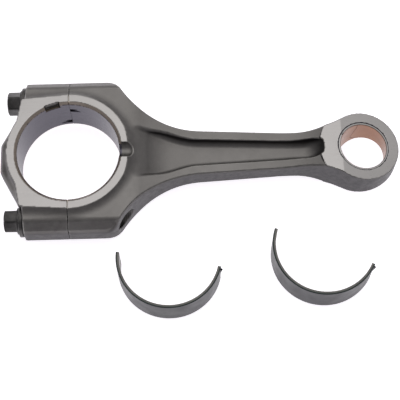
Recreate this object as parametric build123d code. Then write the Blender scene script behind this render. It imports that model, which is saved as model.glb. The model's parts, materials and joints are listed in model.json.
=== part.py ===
from build123d import *
from math import atan2, cos, hypot, radians, sin, sqrt, tan
import os

# Two-piece forged H-section connecting rod, lying flat, with its loose big-end bearing shells.
# The origin is the centre of the big-end bore at half its width.  +X points to the small end,
# +Z runs along the bore axes, and +Y completes the frame.  Everything is in millimetres.

# Driving dimensions of the rod
CENTRE_DISTANCE = 139.1
BIG_END_WIDTH = 24.2
BIG_BORE_R = 24.0
BIG_BORE_CHAMFER = 1.3
THRUST_RING_R = 28.85
THRUST_RING_FILLET_R = 7.0
SHOULDER_WIDTH = 20.0
BOSS_HALF_SPAN = 38.6
BOSS_CORNER_R = 7.0

# I-section beam: half width and half thickness at its two ends
BEAM_WIDE_X, BEAM_WIDE_HALF, BEAM_WIDE_HALF_T = 62.0, 11.15, 5.93
BEAM_SLIM_X, BEAM_SLIM_HALF, BEAM_SLIM_HALF_T = 107.0, 8.9, 5.45
BEAM_THICK_X, BEAM_THIN_X = 58.0, 98.0
SHOULDER_FLANK_R = 47.0
SHOULDER_SLOPE_R = 95.0
SMALL_END_SLOPE_R = 58.0

# Pockets forged in both faces of the beam, leaving the web between them
WEB_HALF_T = 1.7
POCKET_ROOT_R = 30.0
POCKET_ROOT_HALF = 10.7
POCKET_FLARE_X, POCKET_FLARE_HALF = 41.0, 10.3
POCKET_MID_X, POCKET_MID_HALF = 50.0, 8.5
POCKET_WIDE_X, POCKET_WIDE_HALF = 60.0, 6.6
POCKET_SLIM_X, POCKET_SLIM_HALF = 104.0, 4.9
POCKET_END_X, POCKET_END_HALF = 114.7, 4.4
POCKET_FLARE_SLOPE = -0.1
POCKET_WALL_SLOPE = -0.06
POCKET_NOSE_X = 121.6
POCKET_FLOOR_R = 2.4
POCKET_RAMP_R = 28.0
POCKET_RAMP_X = 52.0

# Small end
EYE_R = 17.0
EYE_PAD_R = 21.0
EYE_PAD_WIDTH = 20.2
EYE_TAPER_START = 10.5
EYE_TAPER_DEG = 11.0
BUSH_OUTER_R = 12.0
BUSH_INNER_R = 11.0
BUSH_RECESS = 0.35

# Cap, bolted on across the bore's centre plane
CAP_RING_R = 29.1
CAP_FLANK_DEG = 10.5
CAP_FLANK_BLEND_R = 6.0
CAP_CORNER_X, CAP_CORNER_Y = -22.4, 27.2
CAP_RIB_BACK_X = -32.8
CAP_RIB_FOOT_X = -21.74
CAP_RIB_FLANK_DEG = 28.5
CAP_RIB_WIDTH = 13.0
CAP_RIB_CORNER_R = 5.0
CAP_RIB_EDGE_R = 3.5
SCREW_SEAT_X = -21.2
SPOTFACE_R = 8.3
SPOTFACE_REACH = 20.0

# Bolt bosses, screws and locating sleeves
SCREW_Y = 30.3
BOSS_FLAT_HALF = 5.0
BOSS_CHAMFER_Y = 33.8
BOSS_CHAMFER_END_X = 30.0
SCREW_SHANK_R = 3.97
SCREW_TIP_CHAMFER = 0.8
SCREW_LENGTH = 45.0
SCREW_COLLAR_R = 6.3
SCREW_COLLAR_T = 1.0
HEX_ACROSS_FLATS = 10.0
HEX_HEIGHT = 6.1
HEX_CROWN_SHARE = 0.9
HEX_CORNER_DEG = {"front": 110.0, "rear": 141.5}
CAP_SCREW_HOLE_R = 4.15
ROD_SCREW_HOLE_R = 4.03
ROD_SCREW_HOLE_END_X = 45.0
WASHER_R = 7.6
WASHER_T = 2.0
WASHER_EDGE = 0.3
SLEEVE_R = 5.0
SLEEVE_INNER_R = 4.3
SLEEVE_LENGTH = 9.6
SLEEVE_CAP_CLEARANCE = 0.03
SLEEVE_END_CLEARANCE = 0.2

# Lubrication slots across the rod's thrust faces
SLOT_R = 3.6
SLOT_AXIS_ABOVE_FACE = 0.6
SLOT_END_X = 28.2

# Slots in the bore that take the bearing tangs, on the +Y side of the split
TANG_SLOT_LENGTH = 6.4
TANG_SLOT_WIDTH = 2.4
TANG_SLOT_DEPTH = 1.4
TANG_SLOT_Z = {"rod": 4.5, "cap": -7.5}

# Notch in the cap's upper bore edge
NOTCH_ANGLE_DEG = 108.5
NOTCH_WIDTH = 7.0
NOTCH_OUTER_R = 25.4
NOTCH_DEPTH = 3.6

# Bearing shells, standing on edge on the surface that the rod lies on
SHELL_R = 24.4
SHELL_T = 1.5
SHELL_WIDTH = 18.2
SHELL_ARC_DEG = 174.0
SHELL_EDGE = 0.25
TANG_WIDTH = 2.0
TANG_LENGTH = 2.4
TANG_HEIGHT = 0.9
TANG_BELOW_TOP = 4.0
SHELL_PLACES = {"left": (46.2, -51.5, 260.1), "right": (118.4, -47.25, 247.4)}

HALF_W = BIG_END_WIDTH / 2
SHOULDER_T = SHOULDER_WIDTH / 2
EYE_PAD_T = EYE_PAD_WIDTH / 2
SIDES = {"front": -1, "rear": 1}
FAR = 400.0  # longer than anything here
PAST = 1.0  # how far a cutting solid runs past the face that it opens


def unit(dx, dy):
    length = hypot(dx, dy)
    return dx / length, dy / length


def upper_half(face):
    """A face together with its mirror image across the X axis."""
    return face + mirror(face, Plane.XZ)


def along_x(radius, start, end, y, z=0.0):
    """A solid cylinder along X."""
    length = end - start
    place = Location((start, y, z), (0, 90, 0))
    return place * Cylinder(radius, length, align=(Align.CENTER, Align.CENTER, Align.MIN))


def above_plan(face, low, high):
    """A face of the XY plane extruded from one height to another."""
    return extrude(Pos(0, 0, low) * face, high - low, dir=(0, 0, 1))


def rod_plan():
    """The rod seen along the bores: shoulders, tapering beam and eye."""
    slope = unit(BEAM_SLIM_X - BEAM_WIDE_X, BEAM_SLIM_HALF - BEAM_WIDE_HALF)
    normal = (-slope[1], slope[0])
    flank_x = BEAM_WIDE_X + SHOULDER_FLANK_R * normal[0]
    flank_y = BEAM_WIDE_HALF + SHOULDER_FLANK_R * normal[1]
    corner_x = flank_x - sqrt(SHOULDER_FLANK_R**2 - (flank_y - BOSS_HALF_SPAN) ** 2)
    to_eye_x = BEAM_SLIM_X - CENTRE_DISTANCE
    to_eye_y = BEAM_SLIM_HALF
    along_normal = normal[0] * to_eye_x + normal[1] * to_eye_y
    blend_r = (to_eye_x**2 + to_eye_y**2 - EYE_R**2) / (2 * (EYE_R - along_normal))
    blend_x = BEAM_SLIM_X + blend_r * normal[0]
    blend_y = BEAM_SLIM_HALF + blend_r * normal[1]
    toward = unit(blend_x - CENTRE_DISTANCE, blend_y)
    tangent = (CENTRE_DISTANCE + EYE_R * toward[0], EYE_R * toward[1])
    tip = (CENTRE_DISTANCE + EYE_R, 0)
    eye_angle = atan2(toward[1], toward[0]) / 2
    eye_mid = (CENTRE_DISTANCE + EYE_R * cos(eye_angle), EYE_R * sin(eye_angle))
    lines = [
        Line((0, 0), (0, BOSS_HALF_SPAN)),
        Line((0, BOSS_HALF_SPAN), (corner_x, BOSS_HALF_SPAN)),
        RadiusArc((corner_x, BOSS_HALF_SPAN), (BEAM_WIDE_X, BEAM_WIDE_HALF), -SHOULDER_FLANK_R),
        Line((BEAM_WIDE_X, BEAM_WIDE_HALF), (BEAM_SLIM_X, BEAM_SLIM_HALF)),
        RadiusArc((BEAM_SLIM_X, BEAM_SLIM_HALF), tangent, -blend_r),
        ThreePointArc(tangent, eye_mid, tip),
        Line(tip, (0, 0)),
    ]
    half = make_face(Curve() + lines)
    corner = half.vertices().sort_by_distance((corner_x, BOSS_HALF_SPAN))[0]
    return upper_half(fillet(corner, BOSS_CORNER_R))


def slope_run(radius, rise):
    """How far a concave arc runs while it climbs by rise from level."""
    return sqrt(2 * radius * rise - rise**2)


def taper_end():
    """Where the eye's tapered face is left off, past the tip of the eye, and its height there."""
    tip = CENTRE_DISTANCE + EYE_R + PAST
    crease = CENTRE_DISTANCE - EYE_TAPER_START
    return tip, EYE_PAD_T - (tip - crease) * tan(radians(EYE_TAPER_DEG))


def rod_side():
    """The rod seen from its edge: shoulders, thin beam, and the eye's pad and taper."""
    start = BEAM_THICK_X - slope_run(SHOULDER_SLOPE_R, SHOULDER_T - BEAM_WIDE_HALF_T)
    pad_start = BEAM_THIN_X + slope_run(SMALL_END_SLOPE_R, EYE_PAD_T - BEAM_SLIM_HALF_T)
    crease = CENTRE_DISTANCE - EYE_TAPER_START
    tip, tip_t = taper_end()
    flat_start = (BEAM_THICK_X, BEAM_WIDE_HALF_T)
    flat_end = (BEAM_THIN_X, BEAM_SLIM_HALF_T)
    lines = [
        Line((0, 0), (0, SHOULDER_T)),
        Line((0, SHOULDER_T), (start, SHOULDER_T)),
        RadiusArc((start, SHOULDER_T), flat_start, -SHOULDER_SLOPE_R),
        Line(flat_start, flat_end),
        RadiusArc(flat_end, (pad_start, EYE_PAD_T), -SMALL_END_SLOPE_R),
        Line((pad_start, EYE_PAD_T), (crease, EYE_PAD_T)),
        Line((crease, EYE_PAD_T), (tip, tip_t)),
        Line((tip, tip_t), (tip, 0)),
        Line((tip, 0), (0, 0)),
    ]
    upper = extrude(Plane.XZ * make_face(Curve() + lines), FAR, both=True)
    return upper + mirror(upper, Plane.XY)


def pad_side():
    """The side outline of the faced pads beside the eye."""
    crease = CENTRE_DISTANCE - EYE_TAPER_START
    tip, tip_t = taper_end()
    start = CENTRE_DISTANCE - EYE_PAD_R - PAST
    outline = Polyline(
        (start, 0), (start, EYE_PAD_T), (crease, EYE_PAD_T), (tip, tip_t), (tip, 0), close=True
    )
    upper = extrude(Plane.XZ * make_face(outline), FAR, both=True)
    return upper + mirror(upper, Plane.XY)


def pocket():
    """The upper pocket of the beam, as the solid to remove."""
    root_x = sqrt(POCKET_ROOT_R**2 - POCKET_ROOT_HALF**2) - 2 * PAST
    flare = (POCKET_FLARE_X, POCKET_FLARE_HALF)
    wide = (POCKET_WIDE_X, POCKET_WIDE_HALF)
    slim = (POCKET_SLIM_X, POCKET_SLIM_HALF)
    end = (POCKET_END_X, POCKET_END_HALF)
    flare_way = unit(1, POCKET_FLARE_SLOPE)
    wide_way = unit(1, POCKET_WALL_SLOPE)
    upper = [
        Line((root_x, 0), (root_x, POCKET_ROOT_HALF)),
        Line((root_x, POCKET_ROOT_HALF), flare),
        Spline(flare, (POCKET_MID_X, POCKET_MID_HALF), wide, tangents=[flare_way, wide_way]),
        Line(wide, slim),
        Line(slim, end),
        Spline(end, (POCKET_NOSE_X, 0), tangents=[flare_way, (0, -1)]),
        Line((POCKET_NOSE_X, 0), (root_x, 0)),
    ]
    plan = upper_half(make_face(Curve() + upper))
    cutter = above_plan(plan, WEB_HALF_T, HALF_W + PAST)
    floor_edges = cutter.edges().group_by(Axis.Z)[0]
    cutter = fillet(floor_edges, POCKET_FLOOR_R)
    foot_x = root_x - PAST
    ramp_rise = POCKET_RAMP_R - sqrt(POCKET_RAMP_R**2 - (POCKET_RAMP_X - foot_x) ** 2)
    top = (foot_x, WEB_HALF_T + ramp_rise)
    ramp_lines = [
        Line((foot_x, 0), top),
        RadiusArc(top, (POCKET_RAMP_X, WEB_HALF_T), -POCKET_RAMP_R),
        Line((POCKET_RAMP_X, WEB_HALF_T), (POCKET_RAMP_X, 0)),
        Line((POCKET_RAMP_X, 0), (foot_x, 0)),
    ]
    ramp = extrude(Plane.XZ * make_face(Curve() + ramp_lines), FAR, both=True)
    return cutter - ramp - Cylinder(POCKET_ROOT_R, FAR)


def thrust_ring():
    """The raised thrust ring with the fillet that runs down to the shoulders."""
    foot_r = THRUST_RING_R + sqrt(
        THRUST_RING_FILLET_R**2 - (THRUST_RING_FILLET_R - HALF_W + SHOULDER_T) ** 2
    )
    inner = BIG_BORE_R - PAST
    lines = [
        Line((inner, 0), (inner, HALF_W)),
        Line((inner, HALF_W), (THRUST_RING_R, HALF_W)),
        RadiusArc((THRUST_RING_R, HALF_W), (foot_r, SHOULDER_T), -THRUST_RING_FILLET_R),
        Line((foot_r, SHOULDER_T), (foot_r, 0)),
        Line((foot_r, 0), (inner, 0)),
    ]
    upper = revolve(Plane.XZ * make_face(Curve() + lines), Axis.Z, 360)
    return upper + mirror(upper, Plane.XY)


def boss_edges(start, end):
    """The slanted corners taken off the bolt bosses along X, as solids to remove."""
    run = BOSS_HALF_SPAN - BOSS_CHAMFER_Y
    drop = SHOULDER_T - BOSS_FLAT_HALF
    corner = Polyline(
        (BOSS_CHAMFER_Y, SHOULDER_T),
        (BOSS_CHAMFER_Y, SHOULDER_T + drop),
        (BOSS_HALF_SPAN + run, SHOULDER_T + drop),
        (BOSS_HALF_SPAN + run, BOSS_FLAT_HALF - drop),
        (BOSS_HALF_SPAN, BOSS_FLAT_HALF),
        close=True,
    )
    bar = extrude(Pos(start, 0, 0) * (Plane.YZ * make_face(corner)), end - start, dir=(1, 0, 0))
    pair = bar + mirror(bar, Plane.XZ)
    return pair + mirror(pair, Plane.XY)


def bore_cutter():
    """The big-end bore with the chamfer at both ends."""
    cone_h = BIG_BORE_CHAMFER + PAST
    cone = Pos(0, 0, HALF_W - BIG_BORE_CHAMFER) * Cone(
        BIG_BORE_R, BIG_BORE_R + cone_h, cone_h, align=(Align.CENTER, Align.CENTER, Align.MIN)
    )
    return Cylinder(BIG_BORE_R, FAR) + cone + mirror(cone, Plane.XY)


def lubrication_slots():
    """The round-bottomed slots across both thrust faces, as solids to remove."""
    z = HALF_W + SLOT_AXIS_ABOVE_FACE
    one = along_x(SLOT_R, BIG_BORE_R - PAST, SLOT_END_X, 0, z)
    one = one + Pos(SLOT_END_X, 0, z) * Sphere(SLOT_R)
    return one + mirror(one, Plane.XY)


def tang_slot(end):
    """The slot in the bore wall that takes a bearing tang, fading out round the bore."""
    direction = 1 if end == "rod" else -1
    deep = BIG_BORE_R + TANG_SLOT_DEPTH
    foot = BIG_BORE_R - 2 * PAST
    end_x = direction * TANG_SLOT_LENGTH
    end_y = sqrt(BIG_BORE_R**2 - TANG_SLOT_LENGTH**2)
    outline = Polyline((0, foot), (0, deep), (end_x, end_y), (end_x, foot), close=True)
    z = TANG_SLOT_Z[end]
    return above_plan(make_face(outline), z - TANG_SLOT_WIDTH / 2, z + TANG_SLOT_WIDTH / 2)


def cap_notch():
    """The notch in the cap's upper bore edge, as the solid to remove."""
    length = NOTCH_OUTER_R - BIG_BORE_R + 2 * PAST
    block = Box(length, NOTCH_WIDTH, NOTCH_DEPTH + PAST, align=(Align.MAX, Align.CENTER, Align.MIN))
    return Rot(0, 0, NOTCH_ANGLE_DEG) * Pos(NOTCH_OUTER_R, 0, HALF_W - NOTCH_DEPTH) * block


def rod_body():
    plan = rod_plan()
    block = above_plan(plan, -HALF_W, HALF_W)
    body = block & rod_side()
    pad = block & pad_side() & Pos(CENTRE_DISTANCE, 0, 0) * Cylinder(EYE_PAD_R, BIG_END_WIDTH)
    body = body - boss_edges(-PAST, BOSS_CHAMFER_END_X) + pad
    half_space = Pos(FAR / 2, 0, 0) * Box(FAR, FAR, FAR)
    body = body + (thrust_ring() & half_space)
    upper_pocket = pocket()
    body = body - upper_pocket - mirror(upper_pocket, Plane.XY)
    body = body - bore_cutter() - lubrication_slots() - tang_slot("rod")
    eye = Pos(CENTRE_DISTANCE, 0, 0)
    body = body - eye * Cylinder(BUSH_OUTER_R, FAR)
    for side in SIDES.values():
        body = body - along_x(ROD_SCREW_HOLE_R, -PAST, ROD_SCREW_HOLE_END_X, side * SCREW_Y)
        body = body - along_x(SLEEVE_R, -PAST, SLEEVE_LENGTH / 2, side * SCREW_Y)
    return body


def cap_face_plan():
    """The cap's full-width outline: thrust ring, flanks and the straight edges by the bosses."""
    slope = tan(radians(CAP_FLANK_DEG))
    middle_x = CAP_CORNER_X - CAP_CORNER_Y * slope
    # the flank, x = middle_x + slope * y, meets the ring where x**2 + y**2 = CAP_RING_R**2
    steep = 1 + slope**2
    half_b = middle_x * slope
    kink_y = (sqrt(half_b**2 - steep * (middle_x**2 - CAP_RING_R**2)) - half_b) / steep
    kink = (middle_x + slope * kink_y, kink_y)
    lines = [
        Line((0, 0), (0, THRUST_RING_R)),
        Line((0, THRUST_RING_R), (CAP_CORNER_X, CAP_CORNER_Y)),
        Line((CAP_CORNER_X, CAP_CORNER_Y), kink),
        RadiusArc(kink, (-CAP_RING_R, 0), -CAP_RING_R),
        Line((-CAP_RING_R, 0), (0, 0)),
    ]
    half = make_face(Curve() + lines)
    corner = half.vertices().sort_by_distance(kink)[0]
    return upper_half(fillet(corner, CAP_FLANK_BLEND_R))


def cap_rib_plan():
    """The outline of the rib round the cap's back."""
    run = CAP_RIB_FOOT_X - CAP_RIB_BACK_X
    back_y = CAP_CORNER_Y - run / tan(radians(CAP_RIB_FLANK_DEG))
    outline = make_face(
        Polyline(
            (0, -CAP_CORNER_Y),
            (CAP_RIB_FOOT_X, -CAP_CORNER_Y),
            (CAP_RIB_BACK_X, -back_y),
            (CAP_RIB_BACK_X, back_y),
            (CAP_RIB_FOOT_X, CAP_CORNER_Y),
            (0, CAP_CORNER_Y),
            close=True,
        )
    )
    back = outline.vertices().group_by(Axis.X)[0]
    return fillet(back, CAP_RIB_CORNER_R)


def rod_cap():
    body = above_plan(cap_face_plan(), -HALF_W, HALF_W)
    rib = above_plan(cap_rib_plan(), -CAP_RIB_WIDTH / 2, CAP_RIB_WIDTH / 2)
    rims = [rib.edges().group_by(Axis.Z)[k] for k in (0, -1)]
    outer = [e for rim in rims for e in rim if e.center().X < CAP_RIB_FOOT_X - PAST]
    body = body + fillet(outer, CAP_RIB_EDGE_R)
    boss_length = -SCREW_SEAT_X
    bosses = Pos(-boss_length / 2, 0, 0) * Box(boss_length, 2 * BOSS_HALF_SPAN, SHOULDER_WIDTH)
    body = body + (bosses - boss_edges(SCREW_SEAT_X - PAST, PAST))
    body = body - bore_cutter() - tang_slot("cap") - cap_notch()
    for side in SIDES.values():
        y = side * SCREW_Y
        body = body - along_x(SPOTFACE_R, SCREW_SEAT_X - SPOTFACE_REACH, SCREW_SEAT_X, y)
        body = body - along_x(CAP_SCREW_HOLE_R, SCREW_SEAT_X - PAST, PAST, y)
        sleeve_end = -SLEEVE_LENGTH / 2 - SLEEVE_END_CLEARANCE
        body = body - along_x(SLEEVE_R + SLEEVE_CAP_CLEARANCE, sleeve_end, PAST, y)
    return body


def ring_along_x(outer_r, inner_r, start, end, y, edge=0.0):
    """A plain ring along X, with small chamfers on its outer edges."""
    ring = along_x(outer_r, start, end, y)
    if edge:
        ring = chamfer(ring.edges(), edge)
    return ring - along_x(inner_r, start - PAST, end + PAST, y)


def locating_sleeve(side):
    half = SLEEVE_LENGTH / 2
    return ring_along_x(SLEEVE_R, SLEEVE_INNER_R, -half, half, SIDES[side] * SCREW_Y)


def screw_washer(side):
    start = SCREW_SEAT_X - WASHER_T
    y = SIDES[side] * SCREW_Y
    return ring_along_x(WASHER_R, CAP_SCREW_HOLE_R, start, SCREW_SEAT_X, y, WASHER_EDGE)


def cap_screw(side):
    """A hexagon-headed screw with a collar under the head; its thread is its nominal size."""
    y = SIDES[side] * SCREW_Y
    under_head = SCREW_SEAT_X - WASHER_T
    shank = along_x(SCREW_SHANK_R, under_head, under_head + SCREW_LENGTH, y)
    shank = chamfer(shank.edges().group_by(Axis.X)[-1], SCREW_TIP_CHAMFER)
    collar = along_x(SCREW_COLLAR_R, under_head - SCREW_COLLAR_T, under_head, y)
    head_end = under_head - SCREW_COLLAR_T
    corner_r = HEX_ACROSS_FLATS / sqrt(3)
    hexagon = RegularPolygon(corner_r, 6, rotation=HEX_CORNER_DEG[side])
    on_head = Plane(origin=(head_end, y, 0), x_dir=(0, 1, 0), z_dir=(1, 0, 0))
    head = extrude(on_head * hexagon, -HEX_HEIGHT)
    crown_r = corner_r + HEX_HEIGHT
    crown_start = head_end - HEX_HEIGHT
    crown = Location((crown_start, y, 0), (0, 90, 0)) * Cone(
        corner_r * HEX_CROWN_SHARE,
        crown_r,
        2 * HEX_HEIGHT,
        align=(Align.CENTER, Align.CENTER, Align.MIN),
    )
    return shank + collar + (head & crown)


def small_end_bush():
    """The wrapped bronze bush, its ends following the eye's tapered faces."""
    eye = Pos(CENTRE_DISTANCE, 0, 0)
    sleeve = eye * (Cylinder(BUSH_OUTER_R, BIG_END_WIDTH) - Cylinder(BUSH_INNER_R, FAR))
    lower = Pos(0, 0, BUSH_RECESS) * rod_side()
    upper = Pos(0, 0, -BUSH_RECESS) * rod_side()
    return sleeve & lower & upper


def bearing_shell(place):
    """A half shell standing on edge, its locating tang turned out at one end."""
    x, y, middle = SHELL_PLACES[place]
    floor = -HALF_W
    start = middle - SHELL_ARC_DEG / 2
    inner = SHELL_R - SHELL_T
    profile = make_face(
        Polyline(
            (inner, 0),
            (inner, SHELL_WIDTH),
            (SHELL_R - SHELL_EDGE, SHELL_WIDTH),
            (SHELL_R, SHELL_WIDTH - SHELL_EDGE),
            (SHELL_R, SHELL_EDGE),
            (SHELL_R - SHELL_EDGE, 0),
            close=True,
        )
    )
    shell = revolve(Plane.XZ * profile, Axis.Z, SHELL_ARC_DEG)
    tang_z = SHELL_WIDTH - TANG_BELOW_TOP
    tang_plan = Polyline(
        (SHELL_R - SHELL_T / 2, 0),
        (SHELL_R + TANG_HEIGHT, 0),
        (SHELL_R - SHELL_T / 2, -TANG_LENGTH),
        close=True,
    )
    low = tang_z - TANG_WIDTH / 2
    tang = above_plan(make_face(tang_plan), low, low + TANG_WIDTH)
    shell = shell + Rot(0, 0, SHELL_ARC_DEG) * tang
    return Location((x, y, floor), (0, 0, start)) * shell


def build():
    parts = {
        "rod_body": rod_body(),
        "rod_cap": rod_cap(),
        "small_end_bush": small_end_bush(),
    }
    for side in SIDES:
        parts[f"cap_screw_{side}"] = cap_screw(side)
        parts[f"screw_washer_{side}"] = screw_washer(side)
        parts[f"locating_sleeve_{side}"] = locating_sleeve(side)
    for place in SHELL_PLACES:
        parts[f"bearing_shell_{place}"] = bearing_shell(place)
    return parts


os.makedirs("parts", exist_ok=True)
for name, shape in build().items():
    shape.label = name
    export_step(shape, f"parts/{name}.step")
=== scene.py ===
"""Studio scene of a two-piece forged connecting rod with its loose bearing shells.

Shapes are worked out in millimetres in the frame's own axes and scaled to metres when a mesh is made.
"""
import bpy
import json
import math
import numpy as np
from mathutils import Matrix, Vector


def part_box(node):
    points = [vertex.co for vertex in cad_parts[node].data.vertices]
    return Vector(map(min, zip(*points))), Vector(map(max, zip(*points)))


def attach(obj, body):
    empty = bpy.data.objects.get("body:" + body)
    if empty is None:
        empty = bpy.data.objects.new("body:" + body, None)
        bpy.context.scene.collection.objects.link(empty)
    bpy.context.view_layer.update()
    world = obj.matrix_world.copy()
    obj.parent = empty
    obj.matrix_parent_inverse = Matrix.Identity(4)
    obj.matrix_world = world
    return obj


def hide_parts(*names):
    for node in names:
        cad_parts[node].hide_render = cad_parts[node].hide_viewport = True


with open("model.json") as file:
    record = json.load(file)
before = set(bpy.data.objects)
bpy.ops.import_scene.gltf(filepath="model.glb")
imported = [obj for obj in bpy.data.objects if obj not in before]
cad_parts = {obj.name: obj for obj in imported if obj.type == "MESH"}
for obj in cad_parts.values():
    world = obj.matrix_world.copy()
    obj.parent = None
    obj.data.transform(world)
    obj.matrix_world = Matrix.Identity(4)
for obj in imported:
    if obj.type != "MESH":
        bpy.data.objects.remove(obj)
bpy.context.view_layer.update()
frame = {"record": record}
MM = 0.001


# ---------------------------------------------------------------- sizes, from the frame where it has them

def mount(name):
    return next(m for m in frame["record"]["mounts"] if m["name"] == name)


def node_box(name):
    low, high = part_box(name)
    return np.array(low) / MM, np.array(high) / MM


BODY_LOW, BODY_HIGH = node_box("rod_body")
CAP_LOW, CAP_HIGH = node_box("rod_cap")
HALF_W = BODY_HIGH[2]
BOSS_Y = BODY_HIGH[1]
BORE_R = mount("big_end_bore")["dims"]["r_mm"]
EYE_X = mount("small_end_bush_bore")["pos_m"][0] / MM
PIN_R = mount("small_end_bush_bore")["dims"]["r_mm"]
EYE_R = BODY_HIGH[0] - EYE_X
BUSH_LOW, BUSH_HIGH = node_box("small_end_bush")
BUSH_R = BUSH_HIGH[1]

BORE_CHAMFER = 1.3
RING_R = 28.85
RING_FILLET = 7.0
SHOULDER_T = 10.0
RING_INSET = RING_FILLET - math.sqrt(RING_FILLET**2 - (RING_FILLET - HALF_W + SHOULDER_T) ** 2)
BEAM_ROOT = (62.0, 11.15)
BEAM_NECK = (107.0, 8.9)
FLANK_R = 47.0
BOSS_CORNER_R = 7.0
THICK_ROOT = (58.0, 5.93)
THICK_NECK = (98.0, 5.45)
SHOULDER_SLOPE_R = 95.0
SHOULDER_CROWN_R = 30.0
EYE_SLOPE_R = 58.0
PAD_R = 21.0
PAD_T = 10.1
TAPER_X = EYE_X - 10.5
TAPER = math.tan(math.radians(11.0))
BOSS_SLANT_Y = 33.8
BOSS_SLANT_DROP = 5.0
OIL_SLOT_R = 3.6
OIL_SLOT_END_X = 28.2

WEB_T = 1.7
POCKET_HALF = 6.6
POCKET_DRAFT = 0.11
POCKET_POINT_X = 113.5
POCKET_NOSE_X = 121.6
POCKET_NOSE_FLOOR_X = 110.0
POCKET_NOSE_FLOOR_R = 11.0
POCKET_RAMP_X = 52.0
POCKET_RAMP_R = 28.0
POCKET_RAMP_RUN = 17.6
POCKET_RAMP_SLOPE = 0.808

CAP_BACK_X = -22.4
CAP_CORNER_Y = 27.2
CAP_FLANK = math.radians(10.5)
CAP_ARC_R = 29.1
CAP_EDGE_Y = 28.85
CAP_EDGE_LEAN = 0.073
RIB_FLANK = math.radians(28.5)
RIB_REACH = 32.08
RIB_HALF_T = 6.5

NOTCH_TURN = math.radians(108.5)
NOTCH_HALF = 3.4
NOTCH_MIDDLE_R = 23.5
NOTCH_FLOOR_Z = 8.9

TANG_SLOT_LENGTH = 6.4
TANG_SLOT_DEPTH = 1.4
TANG_SLOT_HALF = 1.2
ROD_TANG_Z = 4.5
CAP_TANG_Z = -7.5

SCREW_Y = 30.3
SCREW_SEAT_X = -21.2
SCREW_HOLE_R = 4.03
SLEEVE_R = 5.0
SLEEVE_HALF = 4.8
SPOT_FACE_R = 8.3
WASHER_T = 2.0
SCREW_LENGTH = 45.0
THREAD_PITCH = 1.0
RING_SEGMENTS = 96
SIDE_Y = {"front": -SCREW_Y, "rear": SCREW_Y}
HEX_CORNER = {"front": 110.0, "rear": 141.5}

SHELL_R = 24.4
SHELL_WALL = 1.5
SHELL_ARC = 174.0
SHELL_PLACES = {"left": (46.2, -51.5, 260.1), "right": (118.4, -47.25, 247.4)}


# ---------------------------------------------------------------- distance fields, in millimetres

def join(a, b, r):
    """Union of two fields with a concave fillet of radius r."""
    inner = np.hypot(np.maximum(r - a, 0), np.maximum(r - b, 0))
    return np.maximum(r, np.minimum(a, b)) - inner


def meet(a, b, r):
    """Intersection of two fields with an edge rounded to radius r."""
    return -join(-a, -b, r)


def carve(a, b, r):
    """Field a with field b removed, and the new edge rounded to radius r."""
    return meet(a, -b, r)


def smoothstep(x, low, high):
    t = np.clip((x - low) / (high - low), 0, 1)
    return t * t * (3 - 2 * t)


def line_height(x, start, end):
    return start[1] + (x - start[0]) * (end[1] - start[1]) / (end[0] - start[0])


def ease(u, v, level, ring, ring_r, r):
    """Below a level line and outside a ring beyond it, with the corner between them rounded to radius r."""
    corner_v = level - r
    corner_u = ring[0] - math.sqrt((ring_r + r) ** 2 - (ring[1] - corner_v) ** 2)
    way = np.array(ring) - [corner_u, corner_v]
    plain = np.maximum(v - level, ring_r - np.hypot(u - ring[0], v - ring[1]))
    in_corner = (u > corner_u) & (way[0] * (v - corner_v) > way[1] * (u - corner_u))
    return np.where(in_corner, np.hypot(u - corner_u, v - corner_v) - r, plain)


def beam_plan(x, y):
    """Outline of shoulders, beam and eye in plan; y is the distance from the centre plane."""
    run = np.array(BEAM_NECK) - np.array(BEAM_ROOT)
    run /= np.linalg.norm(run)
    normal = np.array([-run[1], run[0]])
    flank = np.array(BEAM_ROOT) + FLANK_R * normal
    shoulder = ease(x, y, BOSS_Y, flank, FLANK_R, BOSS_CORNER_R)
    shoulder = np.maximum(shoulder, x - BEAM_ROOT[0])
    beam = np.maximum((y - line_height(x, BEAM_ROOT, BEAM_NECK)) * run[0], x - EYE_X)
    eye = np.hypot(x - EYE_X, y) - EYE_R
    from_eye = np.array(BEAM_NECK) - np.array([EYE_X, 0])
    blend_r = (from_eye @ from_eye - EYE_R**2) / (2 * (EYE_R - normal @ from_eye))
    blend = np.array(BEAM_NECK) + blend_r * normal
    toward = (blend - [EYE_X, 0]) / np.linalg.norm(blend - [EYE_X, 0])
    touch_x = EYE_X + EYE_R * toward[0]
    neck = blend_r - np.hypot(x - blend[0], y - blend[1])
    neck = np.maximum(np.maximum(neck, x - touch_x), BEAM_NECK[0] - 1 - x)
    neck = np.maximum(neck, y - EYE_R)
    return np.minimum(np.minimum(shoulder, beam), np.minimum(eye, neck))


def beam_side(x, z):
    """Outline of the forging seen from its edge; z is the distance from the centre plane."""
    above_root = (THICK_ROOT[0], THICK_ROOT[1] + SHOULDER_SLOPE_R)
    shoulder = ease(x, z, SHOULDER_T, above_root, SHOULDER_SLOPE_R, SHOULDER_CROWN_R)
    shoulder = np.maximum(shoulder, x - THICK_ROOT[0])
    beam = np.maximum(z - line_height(x, THICK_ROOT, THICK_NECK), x - EYE_X)
    neck = EYE_SLOPE_R - np.hypot(x - THICK_NECK[0], z - THICK_NECK[1] - EYE_SLOPE_R)
    neck = np.maximum(np.maximum(neck, z - PAD_T + 0.15), np.maximum(THICK_NECK[0] - x, x - TAPER_X))
    return np.minimum(np.minimum(shoulder, beam), neck)


def eye_face(x, z):
    """The faced pads and the tapered faces of the eye."""
    slope = (z - PAD_T + (x - TAPER_X) * TAPER) / math.hypot(1, TAPER)
    return np.maximum(z - PAD_T, slope)


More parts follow.
